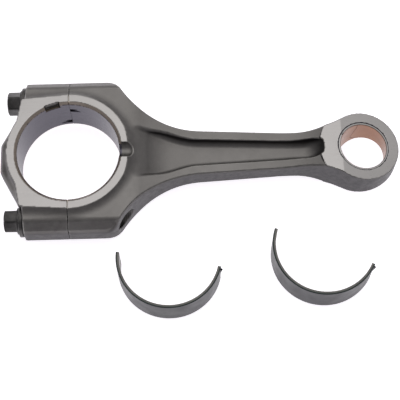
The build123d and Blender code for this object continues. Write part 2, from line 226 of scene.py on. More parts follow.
def pocket(x, y, z):
    """The milled pocket beside the web, negative inside."""
    half = POCKET_HALF - 0.0435 * (x - 60) + 3.1 * (1 - smoothstep(x, 41, 60))
    half = np.maximum(half, 4.6) - POCKET_DRAFT * (6.0 - np.minimum(z, 9.0))
    reach = POCKET_NOSE_X - POCKET_POINT_X - 0.12 * (PAD_T - z)
    point = (np.hypot(np.maximum(x - POCKET_POINT_X, 0) / reach, y / half) - 1) * half
    wall = np.where(x > POCKET_POINT_X, point, y - half)
    run = np.maximum(POCKET_RAMP_X - x, 0)
    curved = np.minimum(run, POCKET_RAMP_RUN)
    floor = WEB_T + POCKET_RAMP_R - np.sqrt(POCKET_RAMP_R**2 - curved**2)
    floor = floor + POCKET_RAMP_SLOPE * (run - curved)
    nose = np.clip(x - POCKET_NOSE_FLOOR_X, 0, POCKET_NOSE_FLOOR_R - 0.5)
    floor = floor + POCKET_NOSE_FLOOR_R - np.sqrt(POCKET_NOSE_FLOOR_R**2 - nose**2)
    corner_r = 0.5 + 2.1 * smoothstep(x, 33, 48)
    return meet(wall, (floor - z) * 0.92, corner_r)


def boss_slant(y, z):
    """The slanted corner along the bolt bosses."""
    run = BOSS_Y - BOSS_SLANT_Y
    slant = (y - BOSS_SLANT_Y) * BOSS_SLANT_DROP + (z - SHOULDER_T) * run
    return slant / math.hypot(run, BOSS_SLANT_DROP)


def big_end_bore(radius, z):
    """The crank bore and its chamfers."""
    chamfer = (radius - BORE_R - z + HALF_W - BORE_CHAMFER) * math.sqrt(0.5)
    return np.minimum(radius - BORE_R, chamfer)


def screw_bores(x, y, z, shank_r, sleeve_r):
    """The holes for one screw and its locating sleeve; y is measured from the centre plane."""
    off = np.hypot(y - SCREW_Y, z)
    exit_relief = 0.55 * smoothstep(x, 18.5, 21.0)
    shank = np.maximum(off - shank_r - exit_relief, x - 45)
    sleeve = np.maximum(off - sleeve_r, np.abs(x) - SLEEVE_HALF - 0.1)
    return np.minimum(shank, sleeve)


def tang_slot(x, y, z, direction, height):
    """The slot for a bearing tang beside the split on the +Y side of the bore."""
    deep = BORE_R + TANG_SLOT_DEPTH
    slope = (deep - math.sqrt(BORE_R**2 - TANG_SLOT_LENGTH**2)) / TANG_SLOT_LENGTH
    lid = (y - deep + np.abs(x) * slope) / math.hypot(1, slope)
    side = np.maximum(np.maximum(lid, np.abs(x) - TANG_SLOT_LENGTH), np.abs(z - height) - TANG_SLOT_HALF)
    return np.maximum(side, np.maximum(-direction * x - 0.5, 20 - y))


def split_edge(y):
    """How far the edges of the split are broken: hardly at all across the ground rings."""
    return 0.06 + 0.2 * smoothstep(y, 29.0, 31.5)


def notch_place(x, y):
    """Distance out from the bore's axis toward the cap's notch, and distance to its side."""
    out = x * math.cos(NOTCH_TURN) + y * math.sin(NOTCH_TURN)
    across = -x * math.sin(NOTCH_TURN) + y * math.cos(NOTCH_TURN)
    return out, np.abs(across)


def rod_field(x, y, z):
    """The rod: shoulders, beam and eye, with its rings, pockets, bores and slots."""
    ay, az = np.abs(y), np.abs(z)
    radius = np.hypot(x, y)
    plan = beam_plan(x, ay)
    forged = meet(plan, beam_side(x, az), 1.0)
    forged = meet(forged, boss_slant(ay, az), 1.2)
    machined = np.maximum(plan, np.hypot(x - EYE_X, y) - PAD_R)
    machined = meet(machined, eye_face(x, az), 0.3)
    body = np.minimum(forged, machined)
    body = join(body, radius - RING_R + RING_INSET, RING_FILLET)
    rim_r = 2.6 - 1.0 * smoothstep(x, 33, 42) - 1.0 * smoothstep(x, 45, 62)
    milled = np.maximum(pocket(x, ay, az), RING_R + 0.2 - np.where(x > 0, radius, 0))
    body = carve(body, milled, rim_r)
    body = meet(body, az - HALF_W, 0.25)
    body = carve(body, big_end_bore(radius, az), 0.15)
    eye_r = np.hypot(x - EYE_X, y)
    eye_chamfer = (eye_r - BUSH_R - 0.15 + np.maximum(-eye_face(x, az), 0)) * 0.7071
    body = carve(body, np.minimum(eye_r - BUSH_R, eye_chamfer), 0.12)
    past_end = np.maximum(x - OIL_SLOT_END_X, 0)
    slot = np.sqrt(y**2 + (az - HALF_W - 0.6) ** 2 + past_end**2) - OIL_SLOT_R
    body = carve(body, slot, 0.3)
    body = carve(body, screw_bores(x, ay, z, SCREW_HOLE_R, SLEEVE_R), 0.2)
    body = np.maximum(body, -tang_slot(x, y, z, 1, ROD_TANG_Z))
    return meet(body, -x, split_edge(ay))


def cap_field(x, y, z):
    """The cap: its ground plate, the rib round its back, and the bosses for the screws."""
    ay, az = np.abs(y), np.abs(z)
    radius = np.hypot(x, y)
    plate = (ay - CAP_CORNER_Y) * math.sin(CAP_FLANK) - (x - CAP_BACK_X) * math.cos(CAP_FLANK)
    edge = (ay - CAP_EDGE_Y) - x * CAP_EDGE_LEAN
    outline = meet(join(radius - CAP_ARC_R, plate, 0.5), edge, 0.8)
    face = meet(outline, az - HALF_W, 0.3)
    rib = ay * math.sin(RIB_FLANK) - x * math.cos(RIB_FLANK) - RIB_REACH
    rib = meet(meet(rib, CAP_LOW[0] - x, 0.55), az - RIB_HALF_T, 4.2)
    body = join(face, meet(rib, ay - CAP_CORNER_Y, 1.0), 2.0)
    boss = meet(ay - BOSS_Y, SCREW_SEAT_X - x, 1.2)
    boss = meet(meet(boss, az - SHOULDER_T, 0.8), boss_slant(ay, az), 1.2)
    skirt = meet(join(outline + RING_INSET, boss, RING_FILLET), az - HALF_W, 0.3)
    body = np.minimum(body, meet(skirt, SCREW_SEAT_X - x, 0.8))
    spot = np.maximum(np.hypot(ay - SCREW_Y, z) - SPOT_FACE_R, x - SCREW_SEAT_X)
    body = carve(body, spot, 0.25)
    body = carve(body, big_end_bore(radius, az), 0.15)
    body = carve(body, screw_bores(x, ay, z, SCREW_HOLE_R + 0.12, SLEEVE_R + 0.03), 0.2)
    body = np.maximum(body, -tang_slot(x, y, z, -1, CAP_TANG_Z))
    out, across = notch_place(x, y)
    notch = np.maximum(across - NOTCH_HALF, np.abs(out - NOTCH_MIDDLE_R) - 1.9)
    body = carve(body, np.maximum(notch, NOTCH_FLOOR_Z - z), 0.2)
    return meet(body, x, split_edge(ay))


# ---------------------------------------------------------------- meshing a field

def gradient(field, p, step=0.02):
    """Slope of a field at each point."""
    g = np.empty_like(p)
    for k in range(3):
        d = np.zeros(3)
        d[k] = step
        g[:, k] = (field(*(p + d).T) - field(*(p - d).T)) / (2 * step)
    return g


def surface_net(field, low, high, cell):
    """Quads over the zero surface of a field, one vertex to each grid cell that it crosses."""
    low, high = np.array(low, float) - 1.5 * cell, np.array(high, float) + 1.5 * cell
    axes = [np.arange(low[k], high[k] + cell, cell) for k in range(3)]
    size = [len(a) for a in axes]
    values = np.empty(size)
    for i, x in enumerate(axes[0]):
        yy, zz = np.meshgrid(axes[1], axes[2], indexing="ij")
        values[i] = field(np.full_like(yy, x), yy, zz)
    inside = values < 0
    total = np.zeros([n - 1 for n in size] + [3])
    count = np.zeros([n - 1 for n in size])
    grid = np.stack(np.meshgrid(*axes, indexing="ij"), axis=-1)
    cuts = []
    for k in range(3):
        first = [slice(None)] * 3
        second = [slice(None)] * 3
        first[k], second[k] = slice(0, -1), slice(1, None)
        first, second = tuple(first), tuple(second)
        at = np.argwhere(inside[first] != inside[second])
        a = values[first][tuple(at.T)]
        b = values[second][tuple(at.T)]
        point = grid[first][tuple(at.T)].copy()
        point[:, k] += cell * a / (a - b)
        others = [o for o in range(3) if o != k]
        for du in (0, 1):
            for dv in (0, 1):
                beside = at.copy()
                beside[:, others[0]] -= du
                beside[:, others[1]] -= dv
                ok = (beside >= 0).all(1) & (beside < np.array(size) - 1).all(1)
                np.add.at(total, tuple(beside[ok].T), point[ok])
                np.add.at(count, tuple(beside[ok].T), 1)
        cuts.append((k, at, inside[first][tuple(at.T)]))
    used = count > 0
    index = np.full(count.shape, -1)
    index[used] = np.arange(used.sum())
    verts = total[used] / count[used][:, None]
    quads = []
    for k, at, was_inside in cuts:
        u, v = (k + 1) % 3, (k + 2) % 3
        corners = []
        for du, dv in ((0, 0), (1, 0), (1, 1), (0, 1)):
            c = at.copy()
            c[:, u] -= du
            c[:, v] -= dv
            corners.append(index[tuple(c.T)])
        q = np.stack(corners, axis=1)
        q[~was_inside] = q[~was_inside][:, ::-1]
        quads.append(q)
    return verts, np.concatenate(quads)


def relax(field, verts, quads, rounds):
    """Draws each vertex on to the surface, then spreads them evenly along it, a few times over."""
    edges = np.concatenate([quads[:, [0, 1]], quads[:, [1, 2]], quads[:, [2, 3]], quads[:, [3, 0]]])
    n = len(verts)
    degree = np.bincount(edges.ravel(), minlength=n)[:, None]
    for turn in range(rounds + 1):
        if turn:
            mean = np.zeros_like(verts)
            for k in range(3):
                mean[:, k] = np.bincount(edges[:, 0], verts[edges[:, 1], k], n)
                mean[:, k] += np.bincount(edges[:, 1], verts[edges[:, 0], k], n)
            verts = verts + 0.45 * (mean / degree - verts)
        for _ in range(2):
            g = gradient(field, verts)
            size = np.maximum((g**2).sum(1), 0.05)[:, None]
            move = -field(*verts.T)[:, None] * g / size
            far = np.linalg.norm(move, axis=1, keepdims=True)
            verts = verts + move * np.minimum(1, 0.3 / np.maximum(far, 1e-9))
    return verts


def link(name, data):
    obj = bpy.data.objects.new(name, data)
    bpy.context.scene.collection.objects.link(obj)
    return obj


def mesh_from(name, verts, faces, normals=None):
    """A smooth-shaded object from points in millimetres."""
    mesh = bpy.data.meshes.new(name)
    mesh.from_pydata((np.asarray(verts) * MM).tolist(), [], [list(map(int, f)) for f in faces])
    mesh.validate()
    mesh.polygons.foreach_set("use_smooth", [True] * len(mesh.polygons))
    if normals is not None:
        mesh.normals_split_custom_set_from_vertices(np.asarray(normals).tolist())
    mesh.update()
    return link(name, mesh)


def true_ground_faces(verts, normals):
    """Gives the points of the ground faces the exact direction of their face."""
    x, y, z = verts.T
    az, up = np.abs(z), np.sign(z)
    on_eye = (np.hypot(x - EYE_X, y) < PAD_R + 0.05) & (np.abs(eye_face(x, az)) < 0.03)
    at_split = np.abs(x) < 0.3
    level = (az > HALF_W - np.where(at_split, 0.35, 0.03)) | (on_eye & (x < TAPER_X))
    slope = on_eye & (x >= TAPER_X)
    length = math.hypot(1, TAPER)
    zero = np.zeros_like(up)
    bored = at_split & (np.hypot(x, y) < BORE_R + 0.35) & (az < HALF_W - BORE_CHAMFER)
    normals[bored] = np.stack([zero, -np.sign(y), zero], axis=1)[bored]
    normals[level] = np.stack([zero, zero, up], axis=1)[level]
    normals[slope] = np.stack([zero + TAPER / length, zero, up / length], axis=1)[slope]


def field_piece(name, field, low, high, cell):
    verts, quads = surface_net(field, low, high, cell)
    verts = relax(field, verts, quads, 3)
    normals = gradient(field, verts, 0.05)
    normals /= np.maximum(np.linalg.norm(normals, axis=1, keepdims=True), 1e-9)
    true_ground_faces(verts, normals)
    return mesh_from(name, verts, quads, normals)


# ---------------------------------------------------------------- materials

def nodes_of(name):
    material = bpy.data.materials.new(name)
    material.use_nodes = True
    tree = material.node_tree
    return material, tree, tree.nodes["Principled BSDF"]


def wire(tree, source, target):
    tree.links.new(source, target)


def maths(tree, operation, a, b=None, c=None):
    node = tree.nodes.new("ShaderNodeMath")
    node.operation = operation
    for socket, value in zip(node.inputs, (a, b, c)):
        if value is None:
            continue
        if isinstance(value, (int, float)):
            socket.default_value = value
        else:
            wire(tree, value, socket)
    return node.outputs[0]


def mix_colour(tree, factor, a, b):
    node = tree.nodes.new("ShaderNodeMix")
    node.data_type = "RGBA"
    sockets = [node.inputs["Factor"], node.inputs[6], node.inputs[7]]
    for socket, value in zip(sockets, (factor, a, b)):
        if isinstance(value, (int, float)):
            socket.default_value = value
        elif isinstance(value, tuple):
            socket.default_value = (*value, 1.0)
        else:
            wire(tree, value, socket)
    return node.outputs[2]


def spread(tree, value, from_low, from_high, to_low, to_high):
    node = tree.nodes.new("ShaderNodeMapRange")
    node.inputs["From Min"].default_value = from_low
    node.inputs["From Max"].default_value = from_high
    node.inputs["To Min"].default_value = to_low
    node.inputs["To Max"].default_value = to_high
    wire(tree, value, node.inputs["Value"])
    return node.outputs["Result"]


def coordinates(tree, stretch=(1, 1, 1)):
    place = tree.nodes.new("ShaderNodeTexCoord")
    mapping = tree.nodes.new("ShaderNodeMapping")
    mapping.inputs["Scale"].default_value = stretch
    wire(tree, place.outputs["Object"], mapping.inputs["Vector"])
    return mapping.outputs["Vector"]


def noise(tree, size_mm, detail=4.0, rough=0.55, stretch=(1, 1, 1)):
    node = tree.nodes.new("ShaderNodeTexNoise")
    node.inputs["Scale"].default_value = 1 / (size_mm * MM)
    node.inputs["Detail"].default_value = detail
    node.inputs["Roughness"].default_value = rough
    wire(tree, coordinates(tree, stretch), node.inputs["Vector"])
    return node.outputs["Fac"]


def attribute(tree, name):
    node = tree.nodes.new("ShaderNodeAttribute")
    node.attribute_name = name
    return node.outputs["Fac"]


def bump(tree, height, depth_mm):
    node = tree.nodes.new("ShaderNodeBump")
    node.inputs["Strength"].default_value = 1.0
    node.inputs["Distance"].default_value = depth_mm * MM
    wire(tree, height, node.inputs["Height"])
    return node.outputs["Normal"]


def thread_wave(tree):
    """Rises and falls once for each pitch along X."""
    split = tree.nodes.new("ShaderNodeSeparateXYZ")
    wire(tree, coordinates(tree), split.inputs[0])
    turns = maths(tree, "MULTIPLY", split.outputs["X"], 2 * math.pi / (THREAD_PITCH * MM))
    return maths(tree, "MULTIPLY_ADD", maths(tree, "SINE", turns), 0.5, 0.5)


def rod_steel():
    """Dark shot-peened forging with ground faces, a honed bore and worn edges, with painted shade in its
    hollows, on its walls, in the cap's notch and in bands in the tapped holes, and a painted highlight on
    the bore chamfers.
    """
    material, tree, shader = nodes_of("forged_and_ground_steel")
    shader.inputs["Metallic"].default_value = 1.0
    ground = spread(tree, attribute(tree, "ground"), -0.01, 0.01, 0, 1)
    honed = spread(tree, attribute(tree, "honed"), -0.01, 0.01, 0, 1)
    edge = attribute(tree, "edge")
    hollow = attribute(tree, "hollow")
    broad = noise(tree, 22, 3, 0.5)
    mottle = noise(tree, 2.2, 5, 0.6)
    peen = noise(tree, 0.45, 3, 0.6)
    patches = spread(tree, broad, 0.3, 0.7, 0, 1)
    forged = mix_colour(tree, patches, (0.136, 0.130, 0.126), (0.175, 0.168, 0.164))
    forged = mix_colour(tree, spread(tree, mottle, 0.35, 0.75, 0, 0.5), forged, (0.215, 0.207, 0.202))
    # painted shade: concave hollows and fillets are painted darker, where shade falls
    forged = mix_colour(tree, spread(tree, hollow, 0.3, 1.2, 0, 0.2), forged, (0.062, 0.057, 0.056))
    wear = spread(tree, edge, 0.3, 1.4, 0, 0.55)
    wear = maths(tree, "MULTIPLY", wear, spread(tree, mottle, 0.3, 0.6, 0.25, 1))
    forged = mix_colour(tree, wear, forged, (0.36, 0.35, 0.335))
    # painted shade: faces that turn away from level, the walls, are painted darker, standing in for the
    # shade on them
    side = maths(tree, "MULTIPLY", attribute(tree, "side"), spread(tree, mottle, 0.3, 0.7, 0.9, 1.0))
    forged = mix_colour(tree, side, forged, (0.060, 0.057, 0.061))
    lines = noise(tree, 0.7, 2, 0.5, (0.06, 1.8, 1))
    grind = spread(tree, lines, 0.3, 0.7, 0, 1)
    bright = mix_colour(tree, grind, (0.308, 0.298, 0.297), (0.342, 0.331, 0.330))
    bright = mix_colour(tree, spread(tree, broad, 0.35, 0.7, 0, 0.5), bright, (0.285, 0.275, 0.273))
    hoops = noise(tree, 0.5, 2, 0.5, (0.04, 0.04, 1.5))
    honing = spread(tree, hoops, 0.3, 0.7, 0, 1)
    bored = mix_colour(tree, honing, (0.076, 0.072, 0.090), (0.100, 0.095, 0.116))
    # painted highlight: the bore chamfers are painted light brown, standing in for the light they catch
    bored = mix_colour(tree, attribute(tree, "chamfer"), bored, (0.50, 0.43, 0.37))
    # painted shade: the cap's notch is painted dark brown, standing in for the shade inside it
    bored = mix_colour(tree, attribute(tree, "stain"), bored, (0.085, 0.070, 0.058))
    # painted shade: dark bands at the thread pitch inside the tapped holes stand in for the shaded thread
    # grooves
    thread_shade_bands = maths(tree, "MULTIPLY", attribute(tree, "thread"), thread_wave(tree))
    thread_shade_bands = maths(tree, "MULTIPLY", thread_shade_bands, 0.85)
    colour = mix_colour(tree, honed, forged, bored)
    colour = mix_colour(tree, thread_shade_bands, colour, (0.03, 0.028, 0.028))
    colour = mix_colour(tree, ground, colour, bright)
    wire(tree, colour, shader.inputs["Base Color"])
    machined = maths(tree, "MAXIMUM", ground, honed)
    as_forged = maths(tree, "SUBTRACT", 1.0, machined)
    rough = spread(tree, mottle, 0.3, 0.7, 0.40, 0.52)
    rough = maths(tree, "ADD", rough, maths(tree, "MULTIPLY", wear, -0.1))
    rough = maths(tree, "MULTIPLY", rough, as_forged)
    smooth = maths(tree, "MULTIPLY", spread(tree, lines, 0.3, 0.7, 0.27, 0.36), machined)
    wire(tree, maths(tree, "ADD", rough, smooth), shader.inputs["Roughness"])
    pits = maths(tree, "MULTIPLY", peen, as_forged)
    scratches = maths(tree, "ADD", lines, hoops)
    scratches = maths(tree, "MULTIPLY", scratches, maths(tree, "MULTIPLY", machined, 0.12))
    wire(tree, bump(tree, maths(tree, "ADD", pits, scratches), 0.05), shader.inputs["Normal"])
    return material


def bronze():
    """Fine-bored bronze on a steel backing, with faint hoops and a darker clinched seam."""
    material, tree, shader = nodes_of("bored_bronze")
    shader.inputs["Metallic"].default_value = 1.0
    hoops = noise(tree, 0.45, 3, 0.55, (0.05, 0.05, 1.4))
    # here only real darker stains in the bronze and patches in its backing
    stain = noise(tree, 6, 4, 0.6)
    bands = spread(tree, hoops, 0.3, 0.7, 0, 1)
    colour = mix_colour(tree, bands, (0.262, 0.131, 0.079), (0.318, 0.171, 0.110))
    colour = mix_colour(tree, spread(tree, stain, 0.4, 0.75, 0, 0.5), colour, (0.22, 0.118, 0.085))
    colour = mix_colour(tree, attribute(tree, "seam"), colour, (0.10, 0.06, 0.045))
    patches = spread(tree, stain, 0.3, 0.7, 0, 1)
    steel = mix_colour(tree, patches, (0.30, 0.292, 0.29), (0.36, 0.35, 0.348))
    colour = mix_colour(tree, attribute(tree, "backing"), colour, steel)
    wire(tree, colour, shader.inputs["Base Color"])
    wire(tree, spread(tree, hoops, 0.3, 0.7, 0.26, 0.36), shader.inputs["Roughness"])
    wire(tree, bump(tree, hoops, 0.012), shader.inputs["Normal"])
    return material


def black_steel():
    """Black oxide, rubbed grey on the edges."""
    material, tree, shader = nodes_of("black_oxide_steel")
    shader.inputs["Metallic"].default_value = 0.9
    cloud = noise(tree, 3, 4, 0.6)
    grain = noise(tree, 0.35, 3, 0.6)
    patches = spread(tree, cloud, 0.3, 0.7, 0, 1)
    colour = mix_colour(tree, patches, (0.042, 0.040, 0.040), (0.074, 0.071, 0.071))
    wear = maths(tree, "MULTIPLY", attribute(tree, "edge"), spread(tree, cloud, 0.3, 0.65, 0.35, 1))
    colour = mix_colour(tree, wear, colour, (0.20, 0.195, 0.19))
    wire(tree, colour, shader.inputs["Base Color"])
    wire(tree, spread(tree, grain, 0.3, 0.7, 0.30, 0.44), shader.inputs["Roughness"])
    wire(tree, bump(tree, grain, 0.02), shader.inputs["Normal"])
    return material


def shell_steel():
    """Grey plated shell: matt back, finely bored lining, and the thin line where the two meet."""
    material, tree, shader = nodes_of("plated_shell_steel")
    shader.inputs["Metallic"].default_value = 1.0
    cloud = noise(tree, 7, 4, 0.55)
    hoops = noise(tree, 0.35, 2, 0.5, (0.08, 0.08, 2.0))
    patches = spread(tree, cloud, 0.3, 0.7, 0, 1)
    back = mix_colour(tree, patches, (0.023, 0.023, 0.027), (0.035, 0.035, 0.039))
    bands = spread(tree, hoops, 0.3, 0.7, 0, 1)
    lining = mix_colour(tree, bands, (0.12, 0.115, 0.108), (0.165, 0.160, 0.150))
    colour = mix_colour(tree, attribute(tree, "lining"), back, lining)
    colour = mix_colour(tree, attribute(tree, "edge"), colour, (0.030, 0.042, 0.039))
    wire(tree, colour, shader.inputs["Base Color"])
    wire(tree, spread(tree, cloud, 0.3, 0.7, 0.34, 0.46), shader.inputs["Roughness"])
    wire(tree, bump(tree, hoops, 0.008), shader.inputs["Normal"])
    return material


def sleeve_steel():
    """Ground steel sleeve with faint hoops."""
    material, tree, shader = nodes_of("ground_sleeve_steel")
    shader.inputs["Metallic"].default_value = 1.0
    hoops = noise(tree, 0.3, 3, 0.55, (1.6, 0.06, 0.06))
    colour = mix_colour(tree, spread(tree, hoops, 0.3, 0.7, 0, 1), (0.42, 0.42, 0.42), (0.55, 0.55, 0.56))
    wire(tree, colour, shader.inputs["Base Color"])
    wire(tree, spread(tree, hoops, 0.3, 0.7, 0.22, 0.34), shader.inputs["Roughness"])
    wire(tree, bump(tree, hoops, 0.01), shader.inputs["Normal"])
    return material


def set_attribute(obj, name, values):
    """Stores one number for each vertex, for the materials to read."""
    layer = obj.data.attributes.new(name, "FLOAT", "POINT")
    layer.data.foreach_set("value", np.asarray(values, np.float32))


def finish_piece(obj, material, slot, body, *replaced):
    """Gives a piece its material and its body, and hides the CAD nodes that it stands for."""
    obj.data.materials.append(material)
    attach(obj, body)
    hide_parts(*replaced)


# ---------------------------------------------------------------- rod and cap

def dress_forging(obj, field):
    """Marks where the forging is ground, bored, chamfered or threaded, how it bends, and its walls; the
    hollows, walls, notch and threads get painted shade and the chamfers a painted highlight.
    """
    p = np.array([v.co for v in obj.data.vertices]) / MM
    x, y, z = p.T
    az = np.abs(z)
    radius = np.hypot(x, y)
    eye_r = np.hypot(x - EYE_X, y)
    on_ring = az - (HALF_W - 0.06)
    on_eye = np.where(eye_r < PAD_R + 1.5, eye_face(x, az) + 0.06, -1.0)
    on_eye = np.minimum(on_eye, PAD_R + 0.1 - eye_r)
    set_attribute(obj, "ground", np.maximum(on_ring, on_eye))
    in_bore = np.minimum(BORE_R + 1.25 - radius, radius - 20)
    in_eye = BUSH_R + 0.5 - eye_r
    split = 0.05 - np.abs(x)
    set_attribute(obj, "honed", np.maximum(np.maximum(in_bore, in_eye), split))
    out, across = notch_place(x, y)
    # painted shade for the notch: marks its floor and walls
    in_notch = (across < NOTCH_HALF + 0.1) & (out > 22) & (out < 25.6)
    in_notch &= (z > NOTCH_FLOOR_Z - 0.1) & (z < HALF_W - 0.05)
    set_attribute(obj, "stain", in_notch & (x < 0))
    # painted highlight on the bore chamfers: marks them
    set_attribute(obj, "chamfer", (radius > BORE_R + 0.1) & (az > HALF_W - BORE_CHAMFER) & ~in_notch)
    # painted shade for the threads: where the tapped holes run
    in_hole = SCREW_HOLE_R + 0.7 - np.hypot(np.abs(y) - SCREW_Y, z)
    set_attribute(obj, "thread", np.clip(in_hole * 4, 0, 1) * (x > SLEEVE_HALF))
    step = 0.4
    bend = -6 * field(x, y, z)
    for k in range(3):
        d = np.zeros(3)
        d[k] = step
        bend += field(*(p + d).T) + field(*(p - d).T)
    bend /= step**2
    set_attribute(obj, "edge", np.clip(bend, 0, 2))
    # painted shade in the hollows: how concave the forging is at each point
    set_attribute(obj, "hollow", np.clip(-bend, 0, 2))
    # painted shade on the walls: near 1 where a face stands upright, 0 where it lies level, away from the
    # bore
    slope = gradient(field, p, 0.3)
    level = np.abs(slope[:, 2]) / np.maximum(np.linalg.norm(slope, axis=1), 1e-9)
    outside = (az < 11.0) & (radius > BORE_R + 5)
    set_attribute(obj, "side", np.clip(1.25 - 2.2 * level, 0, 1) * outside)


FORGING_CELL = 0.5
forging = rod_steel()
rod = field_piece("rod_forging", rod_field, BODY_LOW, BODY_HIGH, FORGING_CELL)
dress_forging(rod, rod_field)
finish_piece(rod, forging, "forged_steel", "rod", "rod_body")
cap = field_piece("cap_forging", cap_field, CAP_LOW, CAP_HIGH, FORGING_CELL)
dress_forging(cap, cap_field)
finish_piece(cap, forging, "forged_steel", "cap", "rod_cap")


# ---------------------------------------------------------------- turned pieces

def grid_faces(rows, columns, closed_rows=False):
    """Quads between rows of points that each run right round; closed_rows joins the last to the first."""
    faces = []
    for i in range(rows if closed_rows else rows - 1):
        for j in range(columns):
            a, b = i * columns + j, i * columns + (j + 1) % columns
            c, d = ((i + 1) % rows) * columns + (j + 1) % columns, ((i + 1) % rows) * columns + j
            faces.append((a, b, c, d))
    return faces


def turned_ring(name, profile, y0):
    """A closed profile of (x, radius) points turned about the line along X at y0."""
    angles = np.linspace(0, 2 * math.pi, RING_SEGMENTS, endpoint=False)
    verts = [(x, y0 + r * math.cos(a), r * math.sin(a)) for x, r in profile for a in angles]
    return mesh_from(name, verts, grid_faces(len(profile), RING_SEGMENTS, closed_rows=True))


def chamfered_ring(start, end, inner, outer, edge):
    """The closed profile of a ring with broken edges, with close points that keep its edges crisp."""
    corners = [(start + edge, inner), (start, inner + edge), (start, outer - edge), (start + edge, outer),
               (end - edge, outer), (end, outer - edge), (end, inner + edge), (end - edge, inner)]
    tight = 0.06
    points = []
    for i, p in enumerate(corners):
        for other in (corners[i - 1], corners[(i + 1) % len(corners)]):
            run = np.array(other) - np.array(p)
            points.append(tuple(np.array(p) + tight * run / np.linalg.norm(run)))
    return points


def hex_head_rings(corner_angle):
    """Rings of points round a hexagonal head with a chamfered crown and a shallow dished top."""
    flats, height, corner_turn = 5.0, 6.1, math.radians(corner_angle)
    per_side = 12
    angles, reach = [], []
    for side in range(6):
        for step in range(per_side):
            off = (step / per_side - 0.5) * math.pi / 3
            angles.append(corner_turn + math.pi / 6 + side * math.pi / 3 + off)
            reach.append(min(flats / math.cos(off), flats / math.cos(math.pi / 6) - 0.12))
    reach = np.array(reach)
    crown_start = flats * 0.93
    drop = np.maximum(reach - crown_start, 0) * math.tan(math.radians(28))
    rings = []
    for share, sink in ((0.02, 0.35), (0.45, 0.35), (0.62, 0.35), (0.68, 0.0)):
        rings.append((np.full_like(reach, sink - height), np.full_like(reach, share * flats)))
    for radius in (crown_start * 0.98, crown_start):
        rings.append((np.full_like(reach, -height), np.full_like(reach, radius)))
    for share in (0.5, 0.96):
        rings.append((-height + share * drop, crown_start + share * (reach - crown_start)))
    rings.append((-height + drop + 0.06, reach))
    rings.append((np.full_like(reach, -0.5), reach))
    rings.append((np.full_like(reach, 0.0), reach + 0.25))
    return angles, rings


def cap_screw_mesh(name, side_y, corner_angle, length):
    """Hexagon head, collar, plain shank and a real helical thread, all about one axis."""
    under_head = SCREW_SEAT_X - WASHER_T
    angles, rings = hex_head_rings(corner_angle)
    collar_t, collar_r = 1.0, 6.3
    verts, rows = [], 0
    for dx, radii in rings:
        for a, x, r in zip(angles, dx, radii):
            verts.append((under_head - collar_t + x, side_y + r * math.cos(a), r * math.sin(a)))
        rows += 1
    shank_end, shank_r, thread_root, thread_crest = 27.0, 3.72, 3.42, 3.965
    profile = [(-collar_t, collar_r - 0.35), (-collar_t + 0.05, collar_r - 0.2)]
    profile += [(-collar_t + 0.25, collar_r), (-0.12, collar_r), (0.0, collar_r - 0.12)]
    profile += [(0.0, 4.35), (0.15, 4.0), (0.6, shank_r)]
    profile += [(x, shank_r) for x in np.linspace(1.0, shank_end, 8)]
    for x, r in profile:
        for a in angles:
            verts.append((under_head + x, side_y + r * math.cos(a), r * math.sin(a)))
        rows += 1
    per_turn = 12
    steps = int((length - shank_end - 0.5) * per_turn / THREAD_PITCH)
    for i in range(steps + 1):
        x = shank_end + 0.5 + i * THREAD_PITCH / per_turn
        fade = min(1.0, i / (1.5 * per_turn))
        tip = max(0.0, x - (length - 1.0))
        for a in angles:
            phase = (x / THREAD_PITCH - a / (2 * math.pi)) % 1.0
            ridge = np.clip(1.25 - 2.9 * abs(phase - 0.5), 0, 1)
            r = thread_root + (thread_crest - thread_root) * ridge * fade + 0.3 * (1 - fade)
            r = min(r, thread_crest - 0.85 * tip)
            verts.append((under_head + x, side_y + r * math.cos(a), r * math.sin(a)))
        rows += 1
    for r in (2.6, 0.05):
        for a in angles:
            verts.append((under_head + length, side_y + r * math.cos(a), r * math.sin(a)))
        rows += 1
    n = len(angles)
    faces = grid_faces(rows, n)
    faces.append(tuple(reversed(range(n))))
    faces.append(tuple((rows - 1) * n + j for j in range(n)))
    faces = [tuple(reversed(f)) for f in faces]
    return mesh_from(name, verts, faces)


def sharpen(obj, degrees):
    """Splits the shading where faces meet at more than an angle."""
    obj.data.set_sharp_from_angle(angle=math.radians(degrees))


def mark_edges(obj, strength):
    """Stores how convex the mesh is at each vertex."""
    mesh = obj.data
    n = len(mesh.vertices)
    co = np.array([v.co for v in mesh.vertices])
    normals = np.array([v.normal for v in mesh.vertices])
    edges = np.array([e.vertices[:] for e in mesh.edges])
    run = co[edges[:, 1]] - co[edges[:, 0]]
    span = np.maximum(np.linalg.norm(run, axis=1), 1e-7)
    turn = ((normals[edges[:, 1]] - normals[edges[:, 0]]) * run).sum(1) / span
    total = np.bincount(edges.ravel(), np.repeat(turn, 2), n)
    count = np.maximum(np.bincount(edges.ravel(), minlength=n), 1)
    set_attribute(obj, "edge", np.clip(total / count * strength, 0, 1))


black = black_steel()
sleeve = sleeve_steel()
for side, y in SIDE_Y.items():
    screw = cap_screw_mesh(f"hex_cap_screw_{side}", y, HEX_CORNER[side], SCREW_LENGTH)
    mark_edges(screw, 1.2)
    sharpen(screw, 35)
    finish_piece(screw, black, "black_screw_steel", f"{side}_screw", f"cap_screw_{side}")
    ring = chamfered_ring(SCREW_SEAT_X - WASHER_T, SCREW_SEAT_X, 4.15, 7.6, 0.3)
    washer = turned_ring(f"hard_washer_{side}", ring, y)
    mark_edges(washer, 1.2)
    sharpen(washer, 30)
    finish_piece(washer, black, "black_screw_steel", "cap", f"screw_washer_{side}")
    ring = chamfered_ring(-SLEEVE_HALF, SLEEVE_HALF, 4.3, SLEEVE_R, 0.2)
    ring_dowel = turned_ring(f"ring_dowel_{side}", ring, y)
    sharpen(ring_dowel, 30)
    finish_piece(ring_dowel, sleeve, "sleeve_steel", "rod", f"locating_sleeve_{side}")


# ---------------------------------------------------------------- small-end bush

